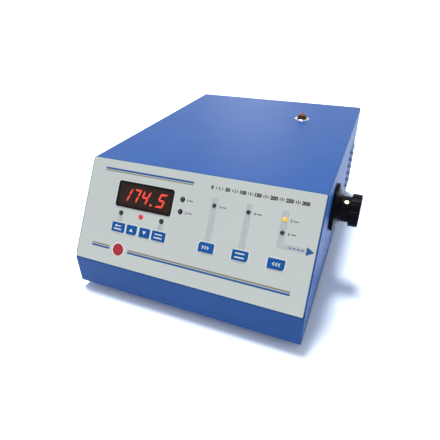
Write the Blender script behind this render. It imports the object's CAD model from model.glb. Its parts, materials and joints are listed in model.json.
import json
import math

import bmesh
import bpy
from mathutils import Matrix, Vector


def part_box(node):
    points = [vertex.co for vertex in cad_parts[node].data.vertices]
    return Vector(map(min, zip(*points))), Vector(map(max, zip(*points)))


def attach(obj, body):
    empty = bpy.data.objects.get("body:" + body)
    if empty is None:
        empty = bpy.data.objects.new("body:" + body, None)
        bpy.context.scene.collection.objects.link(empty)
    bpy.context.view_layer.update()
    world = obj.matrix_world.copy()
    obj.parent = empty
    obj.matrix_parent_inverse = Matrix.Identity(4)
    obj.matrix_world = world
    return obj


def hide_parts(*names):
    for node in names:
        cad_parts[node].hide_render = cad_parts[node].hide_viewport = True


# Bench-top melting point apparatus: finishes, panel print, small detail, camera and light.
# Lengths are in millimetres and become metres in one place each. X is right, Y back and Z up.
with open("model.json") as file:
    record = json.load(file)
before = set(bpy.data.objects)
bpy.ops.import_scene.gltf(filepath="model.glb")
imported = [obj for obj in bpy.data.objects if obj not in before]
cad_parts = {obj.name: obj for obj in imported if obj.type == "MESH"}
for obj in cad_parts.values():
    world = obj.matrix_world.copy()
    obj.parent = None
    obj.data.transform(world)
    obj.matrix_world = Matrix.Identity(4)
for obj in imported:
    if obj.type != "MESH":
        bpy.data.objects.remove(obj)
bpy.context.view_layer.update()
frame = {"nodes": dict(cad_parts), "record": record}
MM = 0.001

# Sloping panel, laid out from its middle line and down from its top edge
slope_run = 60.0
slope_drop = 92.0
overlay_face = 1.2
print_sink = 0.03
print_height = 0.05
join_distance = 0.001

# Camera fitted to the photograph
image_width = 440.0
sensor_width = 36.0
focal_pixels = 378.33
eye_place = (150.287, -417.046, 292.192)
view_azimuth = 23.103
view_elevation = 31.940
view_roll = -1.0148


def rgb(red, green, blue):
    """Linear colour of an sRGB colour given in 0 to 255."""
    shares = [value / 255.0 for value in (red, green, blue)]
    linear = [s / 12.92 if s <= 0.04045 else ((s + 0.055) / 1.055) ** 2.4 for s in shares]
    return (*linear, 1.0)


def shade(color, factor):
    """The same colour, darker or lighter."""
    return (*[min(1.0, value * factor) for value in color[:3]], 1.0)


front_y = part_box("base_chassis")[0].y
top_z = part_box("top_cover")[1].z
top_edge = Vector((0, front_y + slope_run * MM, top_z))
up_slope = Vector((0, slope_run, slope_drop)).normalized()
outward = Vector((0, -slope_drop, slope_run)).normalized()


def panel_point(x, down, out):
    """Point of the row frame from a place on the sloping panel."""
    return top_edge + (Vector((x, 0, 0)) - up_slope * down + outward * out) * MM


# Procedural finishes
class Finish:
    """A principled material with noise-driven colour, roughness and relief."""

    def __init__(self, name, color, roughness, metallic=0.0):
        self.material = bpy.data.materials.new(name)
        self.material.use_nodes = True
        self.material.diffuse_color = color
        self.tree = self.material.node_tree
        self.shader = self.tree.nodes["Principled BSDF"]
        self.color = color
        self.shader.inputs["Base Color"].default_value = color
        self.shader.inputs["Roughness"].default_value = roughness
        self.shader.inputs["Metallic"].default_value = metallic
        coordinates = self.tree.nodes.new("ShaderNodeTexCoord")
        self.place = coordinates.outputs["Object"]

    def link(self, source, target):
        self.tree.links.new(source, target)

    def noise(self, scale, detail=2.0, stretch=(1, 1, 1)):
        """Noise value over the object, with a scale per metre along each axis."""
        mapping = self.tree.nodes.new("ShaderNodeMapping")
        mapping.inputs["Scale"].default_value = [scale * part for part in stretch]
        self.link(self.place, mapping.inputs["Vector"])
        texture = self.tree.nodes.new("ShaderNodeTexNoise")
        texture.inputs["Scale"].default_value = 1.0
        texture.inputs["Detail"].default_value = detail
        self.link(mapping.outputs["Vector"], texture.inputs["Vector"])
        return texture.outputs["Fac"]

    def cells(self, scale):
        """Random value per cell, as in a spangled metal."""
        texture = self.tree.nodes.new("ShaderNodeTexVoronoi")
        texture.inputs["Scale"].default_value = scale
        self.link(self.place, texture.inputs["Vector"])
        split = self.tree.nodes.new("ShaderNodeSeparateColor")
        self.link(texture.outputs["Color"], split.inputs["Color"])
        return split.outputs["Red"]

    def spread(self, value, low, high, start=0.3, end=0.7):
        """A value moved from one range to another."""
        mapped = self.tree.nodes.new("ShaderNodeMapRange")
        mapped.inputs["From Min"].default_value = start
        mapped.inputs["From Max"].default_value = end
        mapped.inputs["To Min"].default_value = low
        mapped.inputs["To Max"].default_value = high
        self.link(value, mapped.inputs["Value"])
        return mapped.outputs["Result"]

    def tint(self, value, other, start=0.3, end=0.7):
        """Colour that moves towards another colour where the value is high."""
        mixed = self.tree.nodes.new("ShaderNodeMix")
        mixed.data_type = "RGBA"
        self.link(self.spread(value, 0.0, 1.0, start, end), mixed.inputs["Factor"])
        current = self.shader.inputs["Base Color"]
        if current.is_linked:
            self.link(current.links[0].from_socket, mixed.inputs["A"])
        else:
            mixed.inputs["A"].default_value = self.color
        mixed.inputs["B"].default_value = other
        self.link(mixed.outputs["Result"], current)
        return self

    def uneven(self, value, low, high):
        """Roughness that varies between two values."""
        self.link(self.spread(value, low, high), self.shader.inputs["Roughness"])
        return self

    def relief(self, value, depth, strength=1.0):
        """Surface relief of a depth in millimetres."""
        bump = self.tree.nodes.new("ShaderNodeBump")
        bump.inputs["Strength"].default_value = strength
        bump.inputs["Distance"].default_value = depth * MM
        self.link(value, bump.inputs["Height"])
        before = self.shader.inputs["Normal"]
        if before.is_linked:
            self.link(before.links[0].from_socket, bump.inputs["Normal"])
        self.link(bump.outputs["Normal"], before)
        return self

    def gloss(self, level):
        self.shader.inputs["Specular IOR Level"].default_value = level
        return self

    def coat(self, weight, roughness):
        self.shader.inputs["Coat Weight"].default_value = weight
        self.shader.inputs["Coat Roughness"].default_value = roughness
        return self

    def glow(self, color, strength):
        self.shader.inputs["Emission Color"].default_value = color
        self.shader.inputs["Emission Strength"].default_value = strength
        return self


def powder_coat():
    color = rgb(33, 86, 160)
    finish = Finish("case_blue", color, 0.42).gloss(0.2)
    speckle = finish.noise(1500.0, 3.0)
    finish.tint(finish.noise(22.0, 4.0), shade(color, 1.12))
    finish.tint(speckle, shade(color, 1.45), 0.5, 0.75)
    finish.uneven(speckle, 0.34, 0.52)
    finish.relief(speckle, 0.05)
    finish.relief(finish.noise(380.0), 0.03)
    return finish.material


def overlay_film():
    color = rgb(213, 221, 219)
    finish = Finish("panel_white", color, 0.38).gloss(0.3)
    finish.tint(finish.noise(14.0, 4.0), shade(color, 0.96))
    finish.relief(finish.noise(2600.0), 0.01)
    finish.uneven(finish.noise(60.0, 4.0), 0.33, 0.43)
    return finish.material


def moulded(name, color, roughness, grain=1800.0, depth=0.02, level=0.5):
    """Moulded plastic or rubber with a fine grain and faint mottling."""
    finish = Finish(name, color, roughness).gloss(level)
    finish.tint(finish.noise(90.0, 4.0), shade(color, 1.25))
    finish.uneven(finish.noise(240.0), roughness * 0.85, roughness * 1.15)
    finish.relief(finish.noise(grain), depth)
    return finish


def smoked_window():
    color = rgb(40, 27, 23)
    finish = Finish("window_smoke", color, 0.16).gloss(0.15)
    finish.tint(finish.noise(45.0), shade(color, 1.3))
    finish.uneven(finish.noise(30.0), 0.12, 0.2)
    return finish.material


def lamp_lens(name, color, glow_color=None, strength=0.0):
    finish = Finish(name, color, 0.2).gloss(0.25)
    finish.tint(finish.noise(300.0), shade(color, 1.4))
    finish.coat(0.25, 0.08)
    if glow_color:
        finish.glow(glow_color, strength)
    return finish.material


def knob_moulding():
    color = rgb(8, 9, 12)
    finish = Finish("knob_black", color, 0.34).gloss(0.06)
    finish.tint(finish.noise(70.0, 4.0), rgb(14, 16, 22))
    finish.uneven(finish.noise(160.0, 4.0), 0.28, 0.42)
    finish.relief(finish.noise(900.0), 0.015)
    return finish.material


def turned_metal(name, color, roughness, stretch):
    """Turned or drawn metal with fine marks along one direction."""
    finish = Finish(name, color, roughness, 1.0)
    marks = finish.noise(2400.0, 2.0, stretch)
    finish.tint(finish.noise(180.0, 4.0), shade(color, 0.72))
    finish.uneven(marks, roughness * 0.75, roughness * 1.35)
    finish.relief(marks, 0.01)
    return finish.material


def zinc_sheet():
    color = rgb(176, 180, 184)
    finish = Finish("zinc_steel", color, 0.38, 1.0)
    spangle = finish.cells(130.0)
    finish.tint(spangle, rgb(140, 145, 150), 0.0, 1.0)
    finish.link(finish.spread(spangle, 0.28, 0.5, 0.0, 1.0), finish.shader.inputs["Roughness"])
    finish.relief(finish.noise(700.0), 0.01)
    return finish.material


def circuit_board():
    color = rgb(22, 92, 48)
    finish = Finish("board_green", color, 0.34)
    tracks = finish.tree.nodes.new("ShaderNodeTexBrick")
    tracks.inputs["Scale"].default_value = 90.0
    tracks.inputs["Mortar Size"].default_value = 0.06
    tracks.inputs["Color1"].default_value = color
    tracks.inputs["Color2"].default_value = shade(color, 0.75)
    tracks.inputs["Mortar"].default_value = rgb(40, 120, 66)
    finish.link(finish.place, tracks.inputs["Vector"])
    finish.link(tracks.outputs["Color"], finish.shader.inputs["Base Color"])
    finish.relief(tracks.outputs["Fac"], 0.03)
    return finish.material


def laminated(name, color, along):
    """Stacked sheets or wound wire, banded along one axis."""
    finish = Finish(name, color, 0.45, 0.6)
    bands = finish.tree.nodes.new("ShaderNodeTexWave")
    bands.bands_direction = along
    bands.inputs["Scale"].default_value = 320.0
    bands.inputs["Distortion"].default_value = 0.4
    finish.link(finish.place, bands.inputs["Vector"])
    finish.tint(bands.outputs["Fac"], shade(color, 0.45), 0.2, 0.8)
    finish.relief(bands.outputs["Fac"], 0.12)
    return finish.material


def ink(name, color, roughness=0.36):
    """Screen print: an even colour with the faint unevenness of the ink."""
    finish = Finish(name, color, roughness)
    finish.tint(finish.noise(420.0, 3.0), shade(color, 0.9))
    finish.relief(finish.noise(2600.0), 0.006)
    return finish.material


def clear_glass():
    finish = Finish("glass", rgb(232, 238, 238), 0.06)
    finish.shader.inputs["Transmission Weight"].default_value = 0.9
    finish.relief(finish.noise(200.0), 0.005)
    return finish.material


finishes = {
    "case_blue": powder_coat(),
    "panel_white": overlay_film(),
    "bezel_black": moulded("bezel_black", rgb(8, 8, 10), 0.3, level=0.15).material,
    "window_smoke": smoked_window(),
    "key_blue": moulded("key_blue", rgb(0, 84, 156), 0.36, grain=2600.0, depth=0.01, level=0.2).material,
    "led_dark": lamp_lens("led_dark", rgb(16, 24, 42)),
    "led_red": lamp_lens("led_red", rgb(176, 0, 34), rgb(215, 0, 45), 0.55),
    "led_yellow": lamp_lens("led_yellow", rgb(222, 150, 14), rgb(250, 190, 20), 0.6),
    "knob_black": knob_moulding(),
    "brass": turned_metal("brass", rgb(178, 120, 62), 0.22, (1, 1, 8)),
    "nickel": turned_metal("nickel", rgb(222, 222, 220), 0.12, (1, 1, 8)),
    "zinc_steel": zinc_sheet(),
    "rubber": moulded("rubber", rgb(20, 20, 21), 0.8, grain=900.0, depth=0.04).material,
    "board_green": circuit_board(),
    "black_plastic": moulded("black_plastic", rgb(17, 17, 18), 0.46).material,
    "aluminium": turned_metal("aluminium", rgb(205, 207, 210), 0.34, (8, 1, 1)),
    "ceramic": moulded("ceramic", rgb(228, 222, 208), 0.7, grain=600.0, depth=0.05).material,
    "lamination": laminated("lamination", rgb(92, 94, 98), "Y"),
    "winding": laminated("winding", rgb(176, 104, 48), "Z"),
    "glass": clear_glass(),
}
for entry in frame["record"]["subparts"]:
    node = frame["nodes"][entry["node"]]
    node.data.materials.clear()
    node.data.materials.append(finishes[entry["material_slot"]])

# Two brass pieces with a colour of their own
own_finishes = {
    "knob_set_screw": turned_metal("brass_pale", rgb(206, 186, 138), 0.3, (1, 8, 8)),
    "furnace_mouth": turned_metal("brass_brown", rgb(150, 84, 40), 0.3, (1, 1, 8)),
}
for node, material in own_finishes.items():
    frame["nodes"][node].data.materials[0] = material

# Inks of the panel and the segments of the display
white_ink = ink("white_ink", rgb(250, 252, 252))
grey_ink = ink("grey_ink", rgb(196, 204, 207))
rule_ink = ink("rule_ink", rgb(142, 136, 120))
blue_ink = ink("blue_ink", rgb(0, 84, 158))
dark_ink = ink("dark_ink", rgb(18, 22, 34))
label_ink = ink("label_ink", rgb(84, 90, 98))
red_ink = ink("red_ink", rgb(176, 22, 44))
segment_lit = Finish("segment_lit", rgb(110, 10, 6), 0.4).glow(rgb(252, 66, 46), 1.0)
segment_lit.relief(segment_lit.noise(900.0), 0.005)
segment_off = Finish("segment_off", rgb(47, 32, 28), 0.3).gloss(0.15)
segment_off.tint(segment_off.noise(600.0), rgb(52, 36, 31))


# Outlines, as lists of (x, down) points on the panel
def rounded(x, down, width, height, radii, grow=0.0, steps=6):
    """Rectangle about a centre, with its corner radii from top left, clockwise."""
    points = []
    corners = ((-1, -1, 180), (1, -1, 270), (1, 1, 0), (-1, 1, 90))
    for (side_x, side_down, start), radius in zip(corners, radii):
        bend = radius + grow
        centre_x = x + side_x * (width / 2 + grow - bend)
        centre_down = down + side_down * (height / 2 + grow - bend)
        for step in range(steps + 1):
            angle = math.radians(start + 90 * step / steps)
            points.append((centre_x + bend * math.cos(angle), centre_down + bend * math.sin(angle)))
    return points


def box_outline(left, top, right, bottom):
    return [(left, top), (right, top), (right, bottom), (left, bottom)]


def disc(x, down, radius, steps=40):
    turn = math.tau / steps
    return [(x + radius * math.cos(i * turn), down + radius * math.sin(i * turn)) for i in range(steps)]


def triangle(x, down, half_width, half_height, direction):
    """Arrowhead that points up, down or to the right."""
    if direction == "right":
        return [
            (x - half_width, down - half_height),
            (x + half_width, down),
            (x - half_width, down + half_height),
        ]
    tip = -half_height if direction == "up" else half_height
    return [(x, down + tip), (x + half_width, down - tip), (x - half_width, down - tip)]


def chevron(x, down, reach, half_height, weight):
    """Angle mark that points to the right, or to the left with a negative reach."""
    lead = math.copysign(weight, reach)
    return [
        (x, down - half_height),
        (x + lead, down - half_height),
        (x + lead + reach, down),
        (x + lead, down + half_height),
        (x, down + half_height),
        (x + reach, down),
    ]


# Solids from outlines
def add_prism(mesh, outline, low, high, place, hole=None):
    """Closed prism between two heights over an outline, with an outline of as many points as a hole."""
    lower = [mesh.verts.new(place(x, down, low)) for x, down in outline]
    upper = [mesh.verts.new(place(x, down, high)) for x, down in outline]
    count = len(outline)
    if hole is None:
        mesh.faces.new(lower)
        mesh.faces.new(upper)
        for i in range(count):
            mesh.faces.new((lower[i], lower[i - 1], upper[i - 1], upper[i]))
        return
    lower_hole = [mesh.verts.new(place(x, down, low)) for x, down in hole]
    upper_hole = [mesh.verts.new(place(x, down, high)) for x, down in hole]
    for i in range(count):
        mesh.faces.new((lower[i], lower[i - 1], lower_hole[i - 1], lower_hole[i]))
        mesh.faces.new((upper[i], upper[i - 1], upper_hole[i - 1], upper_hole[i]))
        mesh.faces.new((lower[i], lower[i - 1], upper[i - 1], upper[i]))
        mesh.faces.new((lower_hole[i], lower_hole[i - 1], upper_hole[i - 1], upper_hole[i]))


def add_piece(name, mesh, material, body):
    """Object from a bmesh, riding on a body."""
    bmesh.ops.recalc_face_normals(mesh, faces=mesh.faces)
    data = bpy.data.meshes.new(name)
    mesh.to_mesh(data)
    mesh.free()
    piece = bpy.data.objects.new(name, data)
    bpy.context.scene.collection.objects.link(piece)
    data.materials.append(material)
    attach(piece, body)
    return piece


def printed(name, outlines, material, body="housing", level=overlay_face, holes=None, place=panel_point):
    """Print of even thickness on the panel, or on another face that has its own placing function."""
    mesh = bmesh.new()
    for i, outline in enumerate(outlines):
        hole = holes[i] if holes else None
        add_prism(mesh, outline, level - print_sink, level + print_height, place, hole)
    return add_piece(name, mesh, material, body)


# The extrusion only tells the top of a figure from its foot, since both get their level below
figure_extrusion = 0.5
figure_steps = 3


def add_figures(mesh, text, height, x, down, level, slant=0.0, weight=0.0):
    """Plain figures as a closed print, with their left edge at x and their middle at down."""
    curve = bpy.data.curves.new("figures", "FONT")
    curve.body = text
    curve.shear = slant
    curve.offset = weight
    curve.extrude = figure_extrusion
    curve.resolution_u = figure_steps
    source = bpy.data.objects.new("figures", curve)
    flat = bpy.data.meshes.new_from_object(source)
    low = [min(v.co[axis] for v in flat.vertices) for axis in range(3)]
    high = [max(v.co[axis] for v in flat.vertices) for axis in range(3)]
    scale = height / (high[1] - low[1])
    top = level + print_height
    for vertex in flat.vertices:
        at = vertex.co
        out = level - print_sink if at.z < 0 else top
        vertex.co = panel_point(x + (at.x - low[0]) * scale, down + height / 2 - (at.y - low[1]) * scale, out)
    mesh.from_mesh(flat)
    bpy.data.meshes.remove(flat)
    bpy.data.objects.remove(source)
    bpy.data.curves.remove(curve)
    return (high[0] - low[0]) * scale


# Places on the panel
key_down = 69.4
key_height = 9.4
key_large = 3.0
key_small = 0.6
key_face = 2.1
halo_width = 1.3
end_key_width = 15.2
arrow_key_width = 12.0
right_key_width = 15.6
# Width of each key and its corner radii from top left, clockwise
key_layout = {
    "set_key": (end_key_width, (key_large, key_small, key_small, key_small)),
    "up_key": (arrow_key_width, (key_small, key_small, key_large, key_small)),
    "down_key": (arrow_key_width, (key_small, key_small, key_small, key_large)),
    "enter_key": (end_key_width, (key_small, key_large, key_small, key_small)),
    "start_key": (right_key_width, (key_large, key_small, key_large, key_small)),
    "recall_key": (right_key_width, (key_large, key_small, key_large, key_small)),
    "reset_key": (right_key_width, (key_large, key_small, key_large, key_small)),
}


def node_x(node):
    """Middle of a node across the object, in millimetres."""
    low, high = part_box(node)
    return (low.x + high.x) / 2 / MM


key_x = {name: node_x(name) for name in key_layout}
display_x = node_x("display_bezel")
display_down = 34.2
display_height = 27.3
bezel_corner = 2.5
bezel_border = 0.9
border_gap = 0.25
bezel_overlap = 0.1
strip_half = 3.1
strip_tail = 76.4
strip_tops = (("set_key", 56.8), ("enter_key", 56.8), ("start_key", 20.6), ("recall_key", 20.6))
angle_strip_top = 20.9
band_top = 50.1
band_bottom = 54.8
band_end = 114.2


def panel_strips():
    """Grey strips that lead from the lamps to the keys."""
    key_top = key_down - key_height / 2 - halo_width
    key_bottom = key_down + key_height / 2 + halo_width
    outlines = []
    for key, top in strip_tops:
        for low, high in ((top, key_top), (key_bottom, strip_tail)):
            outlines.append(box_outline(key_x[key] - strip_half, low, key_x[key] + strip_half, high))
    column = key_x["reset_key"]
    outlines.append(
        [
            (column - strip_half, angle_strip_top),
            (column + strip_half, angle_strip_top),
            (column + strip_half, band_top),
            (band_end, band_top),
            (band_end, band_bottom),
            (column - strip_half, band_bottom),
        ]
    )
    printed("panel_strips", outlines, grey_ink)


def panel_rules():
    """Double rules above the display and along the foot of the panel."""
    upper_left, upper_right = -106.5, -3.1
    upper_blue = (9.3, 11.2)
    upper_brown = (11.9, 13.0)
    lower_spans = ((-106.0, -83.9), (-61.8, 108.6))
    lower_brown = (90.1, 91.6)
    lower_blue = (92.3, 94.2)
    blue = [box_outline(upper_left, upper_blue[0], upper_right, upper_blue[1])]
    brown = [box_outline(upper_left, upper_brown[0], upper_right, upper_brown[1])]
    for left, right in lower_spans:
        brown.append(box_outline(left, lower_brown[0], right, lower_brown[1]))
        blue.append(box_outline(left, lower_blue[0], right, lower_blue[1]))
    printed("rules_blue", blue, blue_ink)
    printed("rules_brown", brown, rule_ink)


def sign_bar(key, left, right, top, bottom):
    """Bar on a key, from the key's middle."""
    x = key_x[key]
    return box_outline(x + left, key_down + top, x + right, key_down + bottom)


def chevron_row(key, side):
    """Three chevrons on a key that point to the right, or to the left with a side of -1."""
    count, start, pitch = 3, 4.4, 2.6
    reach, half_height, weight = 1.6, 1.5, 1.1
    places = [key_x[key] - side * (start - step * pitch) for step in range(count)]
    return [chevron(x, key_down, side * reach, half_height, weight) for x in places]


def key_signs():
    """Arrowheads, bars and chevrons on the keys."""
    arrow_half_width, arrow_half_height = 2.1, 1.7
    bar_half, bar_weight, bar_row = 4.6, 0.55, 1.9
    arrow_stem = (-1.6, 3.4, -2.0, -1.0)
    arrowhead = ((-1.6, -3.1), (-1.6, 0.1), (-3.8, -1.5))
    set_bar = (-bar_half, bar_half, 1.3, 2.5)
    enter_bars = ((-4.2, 4.2, -2.2, -1.2), (-bar_half, bar_half, 1.2, 2.4))
    signs = {
        key: [triangle(key_x[key], key_down, arrow_half_width, arrow_half_height, direction)]
        for key, direction in (("up_key", "up"), ("down_key", "down"))
    }
    signs["set_key"] = [
        sign_bar("set_key", *arrow_stem),
        [(key_x["set_key"] + along, key_down + down) for along, down in arrowhead],
        sign_bar("set_key", *set_bar),
    ]
    signs["enter_key"] = [sign_bar("enter_key", *bar) for bar in enter_bars]
    signs["start_key"] = chevron_row("start_key", 1)
    signs["recall_key"] = [
        sign_bar("recall_key", -bar_half, bar_half, row - bar_weight, row + bar_weight)
        for row in (-bar_row, bar_row)
    ]
    signs["reset_key"] = chevron_row("reset_key", -1)
    return signs


def key_print():
    """White border round each key, and white signs on the keys."""
    outer = []
    inner = []
    for key, (width, radii) in key_layout.items():
        outer.append(rounded(key_x[key], key_down, width, key_height, radii, halo_width))
        inner.append(rounded(key_x[key], key_down, width, key_height, radii, border_gap))
    low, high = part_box("display_bezel")
    bezel_width = (high.x - low.x) / MM
    bezel = (display_x, display_down, bezel_width, display_height, [bezel_corner] * 4)
    outer.append(rounded(*bezel, bezel_border))
    inner.append(rounded(*bezel, -bezel_overlap))
    printed("white_borders", outer, white_ink, holes=inner)
    for key, outlines in key_signs().items():
        printed(f"{key}_sign", outlines, white_ink, key, key_face)


def plain_figures():
    """Generic figures where the panel has lettering, and a plain disc by the lower rule."""
    mesh = bmesh.new()
    scale_start, scale_end, scale_down = 15.6, 103.4, 11.4
    figure_height, figure_weight = 3.9, 0.06
    tick_rows = ((0.26, 1.1), (0.5, 1.8), (0.74, 1.1))
    tick_half = 0.4
    figures = ("0", "50", "100", "150", "200", "250", "300")
    ticks = []
    pitch = (scale_end - scale_start) / (len(figures) - 1)
    for i, text in enumerate(figures):
        x = scale_start + pitch * i
        width = add_figures(mesh, text, figure_height, x, scale_down, overlay_face, 0.0, figure_weight)
        if i + 1 < len(figures):
            room = pitch - width
            for share, half in tick_rows:
                tick_x = x + width + room * share
                left, right = tick_x - tick_half, tick_x + tick_half
                ticks.append(box_outline(left, scale_down - half, right, scale_down + half))
    add_piece("scale_figures", mesh, dark_ink, "housing")
    printed("scale_ticks", ticks, dark_ink)
    mesh = bmesh.new()
    lamp_figure_height, lamp_figure_weight, lamp_figure_shift = 2.8, 0.03, 5.2
    mark_gap, mark_end, mark_half = 1.0, 5.6, 0.45
    left_x, left_row, right_row, lower_row = -6.3, 28.6, 28.8, 40.8
    small = (
        ("1", left_x, left_row),
        ("2", left_x, lower_row),
        ("3", key_x["start_key"] + lamp_figure_shift, right_row),
        ("4", key_x["recall_key"] + lamp_figure_shift, right_row),
        ("5", key_x["reset_key"] + lamp_figure_shift, right_row),
        ("6", key_x["reset_key"] + lamp_figure_shift, lower_row),
    )
    marks = []
    for text, x, down in small:
        width = add_figures(mesh, text, lamp_figure_height, x, down, overlay_face, 0.0, lamp_figure_weight)
        left, right = x + width + mark_gap, x + width + mark_end
        marks.append(box_outline(left, down - mark_half, right, down + mark_half))
    add_piece("lamp_figures", mesh, label_ink, "housing")
    printed("lamp_marks", marks, label_ink)
    disc_x, disc_down, border_radius, disc_radius = -73.1, 92.4, 7.4, 6.4
    second_layer = overlay_face + print_height
    printed("round_mark_border", [disc(disc_x, disc_down, border_radius)], white_ink)
    printed("round_mark", [disc(disc_x, disc_down, disc_radius)], red_ink, level=second_layer)
    arrow_x, arrow_down = 118.6, 52.4
    arrow_half_width, arrow_half_height = 3.5, 3.9
    dash_starts = (99.6, 103.2, 106.8, 110.4)
    dash_length, dash_top, dash_bottom = 2.4, 52.0, 53.0
    arrow = [triangle(arrow_x, arrow_down, arrow_half_width, arrow_half_height, "right")]
    arrow += [box_outline(x, dash_top, x + dash_length, dash_bottom) for x in dash_starts]
    printed("arrow_mark", arrow, blue_ink, level=second_layer)


# Slanted seven-segment figures of the display
digit_height = 14.4
digit_width = 8.4
digit_slant = 0.34
digit_down = 34.2
digit_level = 1.5
stroke = 2.0
segment_gap = 0.22
point_place = (-45.4, 40.5)
point_radius = 1.3
point_sides = 24
digit_places = ((-79.0, "bc"), (-68.6, "abc"), (-57.3, "bcfg"), (-38.2, "acdfg"))


def segment_outline(left, name):
    """One of the seven segments of a slanted figure: bars with bevelled ends and a pointed middle."""
    right = left + digit_width
    half = digit_height / 2
    gap = segment_gap
    middle = stroke / 2
    if name in "ad":
        points = [
            (left + gap, -half),
            (right - gap, -half),
            (right - stroke - gap, stroke - half),
            (left + stroke + gap, stroke - half),
        ]
        if name == "d":
            points = [(x, -y) for x, y in points]
    elif name == "g":
        points = [
            (left + middle + gap, 0),
            (left + stroke + gap, -middle),
            (right - stroke - gap, -middle),
            (right - middle - gap, 0),
            (right - stroke - gap, middle),
            (left + stroke + gap, middle),
        ]
    else:
        points = [
            (right, gap - half),
            (right, -middle / 2 - gap),
            (right - middle, -gap),
            (right - stroke, -middle - gap),
            (right - stroke, stroke + gap - half),
        ]
        if name in "ef":
            points = [(left + right - x, y) for x, y in points]
        if name in "ce":
            points = [(x, -y) for x, y in points]
    return [(x - y * digit_slant, digit_down + y) for x, y in points]


def display_figures():
    """Lit and unlit segments of the display."""
    lit = []
    unlit = []
    for left, on in digit_places:
        for name in "abcdefg":
            (lit if name in on else unlit).append(segment_outline(left, name))
    lit.append(disc(*point_place, point_radius, point_sides))
    printed("display_segments_lit", lit, segment_lit.material, level=digit_level)
    printed("display_segments_unlit", unlit, segment_off.material, level=digit_level)


def node_mesh(node):
    """Closed copy of a node's mesh, with the vertices of its faces joined."""
    mesh = bmesh.new()
    mesh.from_mesh(frame["nodes"][node].data)
    bmesh.ops.remove_doubles(mesh, verts=mesh.verts, dist=join_distance * MM)
    return mesh


def rocker_marks():
    """Bar and ring on the two halves of the rocker, each on its own slanted face."""
    bar_half_width, bar_half_height = 0.45, 2.2
    ring_outer, ring_inner = 2.2, 1.5
    facing_back = 0.8
    mesh = node_mesh("switch_rocker")
    low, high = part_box("switch_rocker")
    middle = (low.z + high.z) / 2
    bar = box_outline(-bar_half_width, -bar_half_height, bar_half_width, bar_half_height)
    for name, side, outline, hole in (
        ("rocker_bar", 1, bar, None),
        ("rocker_ring", -1, disc(0, 0, ring_outer), [disc(0, 0, ring_inner)]),
    ):
        facing = [f for f in mesh.faces if f.normal.y > facing_back]
        half = [f for f in facing if (f.calc_center_median().z - middle) * side > 0]
        face = max(half, key=lambda f: f.calc_area())
        centre = face.calc_center_median()
        centre.x = (low.x + high.x) / 2
        out = face.normal.copy()
        right = Vector((-1, 0, 0))
        up = out.cross(right)

        def place(x, down, height):
            return centre + (right * x - up * down + out * height) * MM

        printed(name, [outline], white_ink, "switch_rocker", 0.0, hole, place)
    mesh.free()


def separate_solids(mesh):
    """Lists of the vertices of each solid in a mesh, in the order of the mesh."""
    mesh.verts.index_update()
    seen = set()
    for start in mesh.verts:
        if start.index in seen:
            continue
        seen.add(start.index)
        group = [start]
        for vertex in group:
            for edge in vertex.link_edges:
                other = edge.other_vert(vertex)
                if other.index not in seen:
                    seen.add(other.index)
                    group.append(other)
        yield group


# Pan-head screws with a cross recess and a rolled thread, in place of the plain ones
recess_reach = 1.7
recess_half = 0.36
recess_depth = 1.1
recess_floor = 0.6
recess_narrowing = 0.7
thread_pitch = 0.5
thread_depth = 0.16
head_profile = ((1.0, 0.0), (1.0, 0.4), (0.93, 0.72), (0.78, 1.0))
shortest_screw = 5.8
corner_spread = 0.3
near_rim = 0.95
foot_tolerance = 0.01


def cross_point(angle, reach, half):
    """Point of a cross-shaped outline in a direction from its middle."""
    turn = angle % (math.pi / 2)
    base = angle - turn
    along, across = math.cos(turn), math.sin(turn)
    inner = math.atan2(half, reach)
    if turn < inner or turn > math.pi / 2 - inner:
        size = reach / max(along, across)
    else:
        size = half / min(along, across)
    corner = min(size, reach / max(along, across))
    return corner * math.cos(base + turn), corner * math.sin(base + turn)


def cross_ring():
    """Angles round a screw head, with the corners of its cross recess among them."""
    edge = math.atan2(recess_half, recess_reach)
    diagonal = math.pi / 4
    quarter = (
        -edge,
        edge,
        diagonal - corner_spread,
        diagonal,
        diagonal + corner_spread,
        math.pi / 2 - edge,
    )
    return sorted({round((q + i * math.pi / 2) % math.tau, 6) for i in range(4) for q in quarter})


def build_screw(mesh, seat, axis, length, shank, head, height):
    """Screw from its seat: the head rises along the axis and the shank goes the other way."""
    side = axis.orthogonal().normalized()
    other = axis.cross(side)
    angles = cross_ring()

    def ring(radius, level):
        return [
            mesh.verts.new(seat + side * radius * math.cos(a) + other * radius * math.sin(a) + axis * level)
            for a in angles
        ]

    def cross(reach, half, level):
        rows = [cross_point(a, reach, half) for a in angles]
        return [mesh.verts.new(seat + side * x * MM + other * y * MM + axis * level) for x, y in rows]

    turns = max(1, int(length / MM / thread_pitch))
    rings = []
    for step in range(turns):
        level = -length + step * thread_pitch * MM
        rings.append(ring(shank - thread_depth * MM, level))
        rings.append(ring(shank, level + 0.5 * thread_pitch * MM))
    rings.append(ring(shank, 0.0))
    rings += [ring(head * share, height * rise) for share, rise in head_profile]
    rings.append(cross(recess_reach, recess_half, height))
    floor = height - recess_depth * MM
    rings.append(cross(recess_reach * recess_floor, recess_half * recess_narrowing, floor))
    for lower, upper in zip(rings, rings[1:]):
        for i in range(len(angles)):
            mesh.faces.new((lower[i], lower[i - 1], upper[i - 1], upper[i]))
    mesh.faces.new(rings[0])
    mesh.faces.new(rings[-1])


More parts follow.
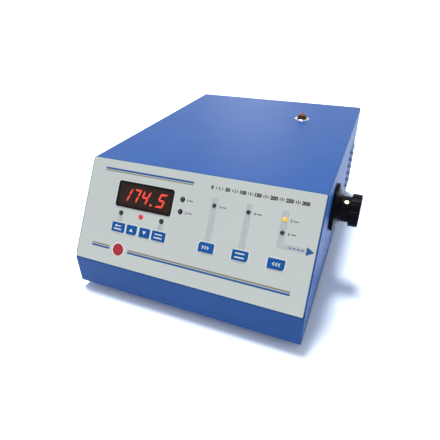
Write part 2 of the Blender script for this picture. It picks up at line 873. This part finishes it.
def detailed_screws(node):
    """Screws of a node rebuilt with their detail. Its nuts are kept as they are."""
    plain = node_mesh(node)
    built = bmesh.new()
    for group in separate_solids(plain):
        low = Vector([min(v.co[i] for v in group) for i in range(3)])
        high = Vector([max(v.co[i] for v in group) for i in range(3)])
        size = high - low
        along = max(range(3), key=lambda i: size[i])
        across = [i for i in range(3) if i != along]
        if size[along] < shortest_screw * MM:
            copies = {v: built.verts.new(v.co) for v in group}
            for face in dict.fromkeys(f for v in group for f in v.link_faces):
                built.faces.new([copies[v] for v in face.verts])
            continue
        centre = (low + high) / 2
        radii = {v: math.hypot(*[v.co[i] - centre[i] for i in across]) for v in group}
        head = max(radii.values())
        wide = [v.co[along] for v in group if radii[v] > head * near_rim]
        up = 1.0 if sum(wide) / len(wide) > centre[along] else -1.0
        axis = Vector([up if i == along else 0.0 for i in range(3)])
        seat = centre.copy()
        seat[along] = min(wide) if up > 0 else max(wide)
        top = high[along] if up > 0 else low[along]
        foot = low[along] if up > 0 else high[along]
        shank = max(r for v, r in radii.items() if abs(v.co[along] - foot) < foot_tolerance * MM)
        build_screw(built, seat, axis, abs(seat[along] - foot), shank, head, abs(top - seat[along]))
    plain.free()
    piece = add_piece(f"{node}_detailed", built, finishes["zinc_steel"], "housing")
    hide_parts(node)


panel_strips()
panel_rules()
key_print()
plain_figures()
display_figures()
rocker_marks()
for node in ("case_screws", "fan_screws", "board_screws", "foot_screws"):
    detailed_screws(node)


# Stage, light and camera
floor_half = 6.0
floor_lighting = (0.78, 0.79, 0.81, 1.0)
floor_seen = (1.40, 1.55, 1.74, 1.0)
world_lighting = 0.36
world_seen = 1.0
sun_energy = 2.4
sun_angle = 14.0
sun_from = (-0.17, 0.135, 0.97)
lamp_aim = (0.0, 0.0, 0.07)
soft_lights = (
    ("front_light", (-0.3, -1.6, 0.9), 0.8, 1.0),
    ("back_light", (-0.44, 1.4, 0.6), 0.45, 0.8),
)
nearest_seen = 0.01


def add_floor():
    """Pale floor that shows white where it is lit and keeps the shadow."""
    mesh = bmesh.new()
    sides = ((-1, -1), (1, -1), (1, 1), (-1, 1))
    mesh.faces.new([mesh.verts.new((x * floor_half, y * floor_half, 0.0)) for x, y in sides])
    data = bpy.data.meshes.new("floor")
    mesh.to_mesh(data)
    mesh.free()
    floor = bpy.data.objects.new("floor", data)
    bpy.context.scene.collection.objects.link(floor)
    material = bpy.data.materials.new("floor_white")
    material.use_nodes = True
    tree = material.node_tree
    tree.nodes.clear()
    output = tree.nodes.new("ShaderNodeOutputMaterial")
    diffuse = tree.nodes.new("ShaderNodeBsdfDiffuse")
    mixed = tree.nodes.new("ShaderNodeMix")
    mixed.data_type = "RGBA"
    mixed.inputs["A"].default_value = floor_lighting
    mixed.inputs["B"].default_value = floor_seen
    tree.links.new(seen_by_eye(tree), mixed.inputs["Factor"])
    tree.links.new(mixed.outputs["Result"], diffuse.inputs["Color"])
    tree.links.new(diffuse.outputs[0], output.inputs["Surface"])
    data.materials.append(material)


def seen_by_eye(tree):
    """1 for camera, glossy and transmission rays, and 0 for the rays that light the object."""
    path = tree.nodes.new("ShaderNodeLightPath")
    total = path.outputs["Is Camera Ray"]
    for name in ("Is Glossy Ray", "Is Transmission Ray"):
        either = tree.nodes.new("ShaderNodeMath")
        either.operation = "MAXIMUM"
        tree.links.new(total, either.inputs[0])
        tree.links.new(path.outputs[name], either.inputs[1])
        total = either.outputs[0]
    return total


def add_world():
    """Even light all round, and white where the background is seen."""
    world = bpy.data.worlds.new("studio")
    world.use_nodes = True
    bpy.context.scene.world = world
    tree = world.node_tree
    background = tree.nodes["Background"]
    background.inputs["Color"].default_value = (1.0, 1.0, 1.0, 1.0)
    strength = tree.nodes.new("ShaderNodeMapRange")
    strength.inputs["To Min"].default_value = world_lighting
    strength.inputs["To Max"].default_value = world_seen
    tree.links.new(seen_by_eye(tree), strength.inputs["Value"])
    tree.links.new(strength.outputs["Result"], background.inputs["Strength"])


def add_lamp(name, light, place, aim):
    """Lamp at a place, turned towards a point."""
    lamp = bpy.data.objects.new(name, light)
    lamp.location = place
    lamp.rotation_euler = (Vector(aim) - Vector(place)).to_track_quat("-Z", "Y").to_euler()
    bpy.context.scene.collection.objects.link(lamp)


def add_key_light():
    """Soft light from high on the left, which casts the tight shadow on the right."""
    light = bpy.data.lights.new("key_light", "SUN")
    light.energy = sun_energy
    light.angle = math.radians(sun_angle)
    add_lamp("key_light", light, sun_from, (0.0, 0.0, 0.0))


def add_soft_light(name, place, size, power):
    light = bpy.data.lights.new(name, "AREA")
    light.shape = "DISK"
    light.size = size
    light.energy = power
    add_lamp(name, light, place, lamp_aim)


def add_camera():
    azimuth, elevation, roll = (math.radians(a) for a in (view_azimuth, view_elevation, view_roll))
    back = Vector(
        (
            math.sin(azimuth) * math.cos(elevation),
            -math.cos(azimuth) * math.cos(elevation),
            math.sin(elevation),
        )
    )
    right = (-back).cross(Vector((0, 0, 1))).normalized()
    up = right.cross(-back)
    rolled_right = right * math.cos(roll) + up * math.sin(roll)
    rolled_up = up * math.cos(roll) - right * math.sin(roll)
    data = bpy.data.cameras.new("camera")
    data.sensor_width = sensor_width
    data.lens = sensor_width * focal_pixels / image_width
    data.clip_start = nearest_seen
    camera = bpy.data.objects.new("camera", data)
    turn = Matrix((rolled_right, rolled_up, back)).transposed().to_4x4()
    camera.matrix_world = Matrix.Translation(Vector(eye_place) * MM) @ turn
    bpy.context.scene.collection.objects.link(camera)
    bpy.context.scene.camera = camera


add_floor()
add_world()
add_key_light()
for soft_light in soft_lights:
    add_soft_light(*soft_light)
add_camera()
bpy.context.scene.view_settings.view_transform = "Standard"
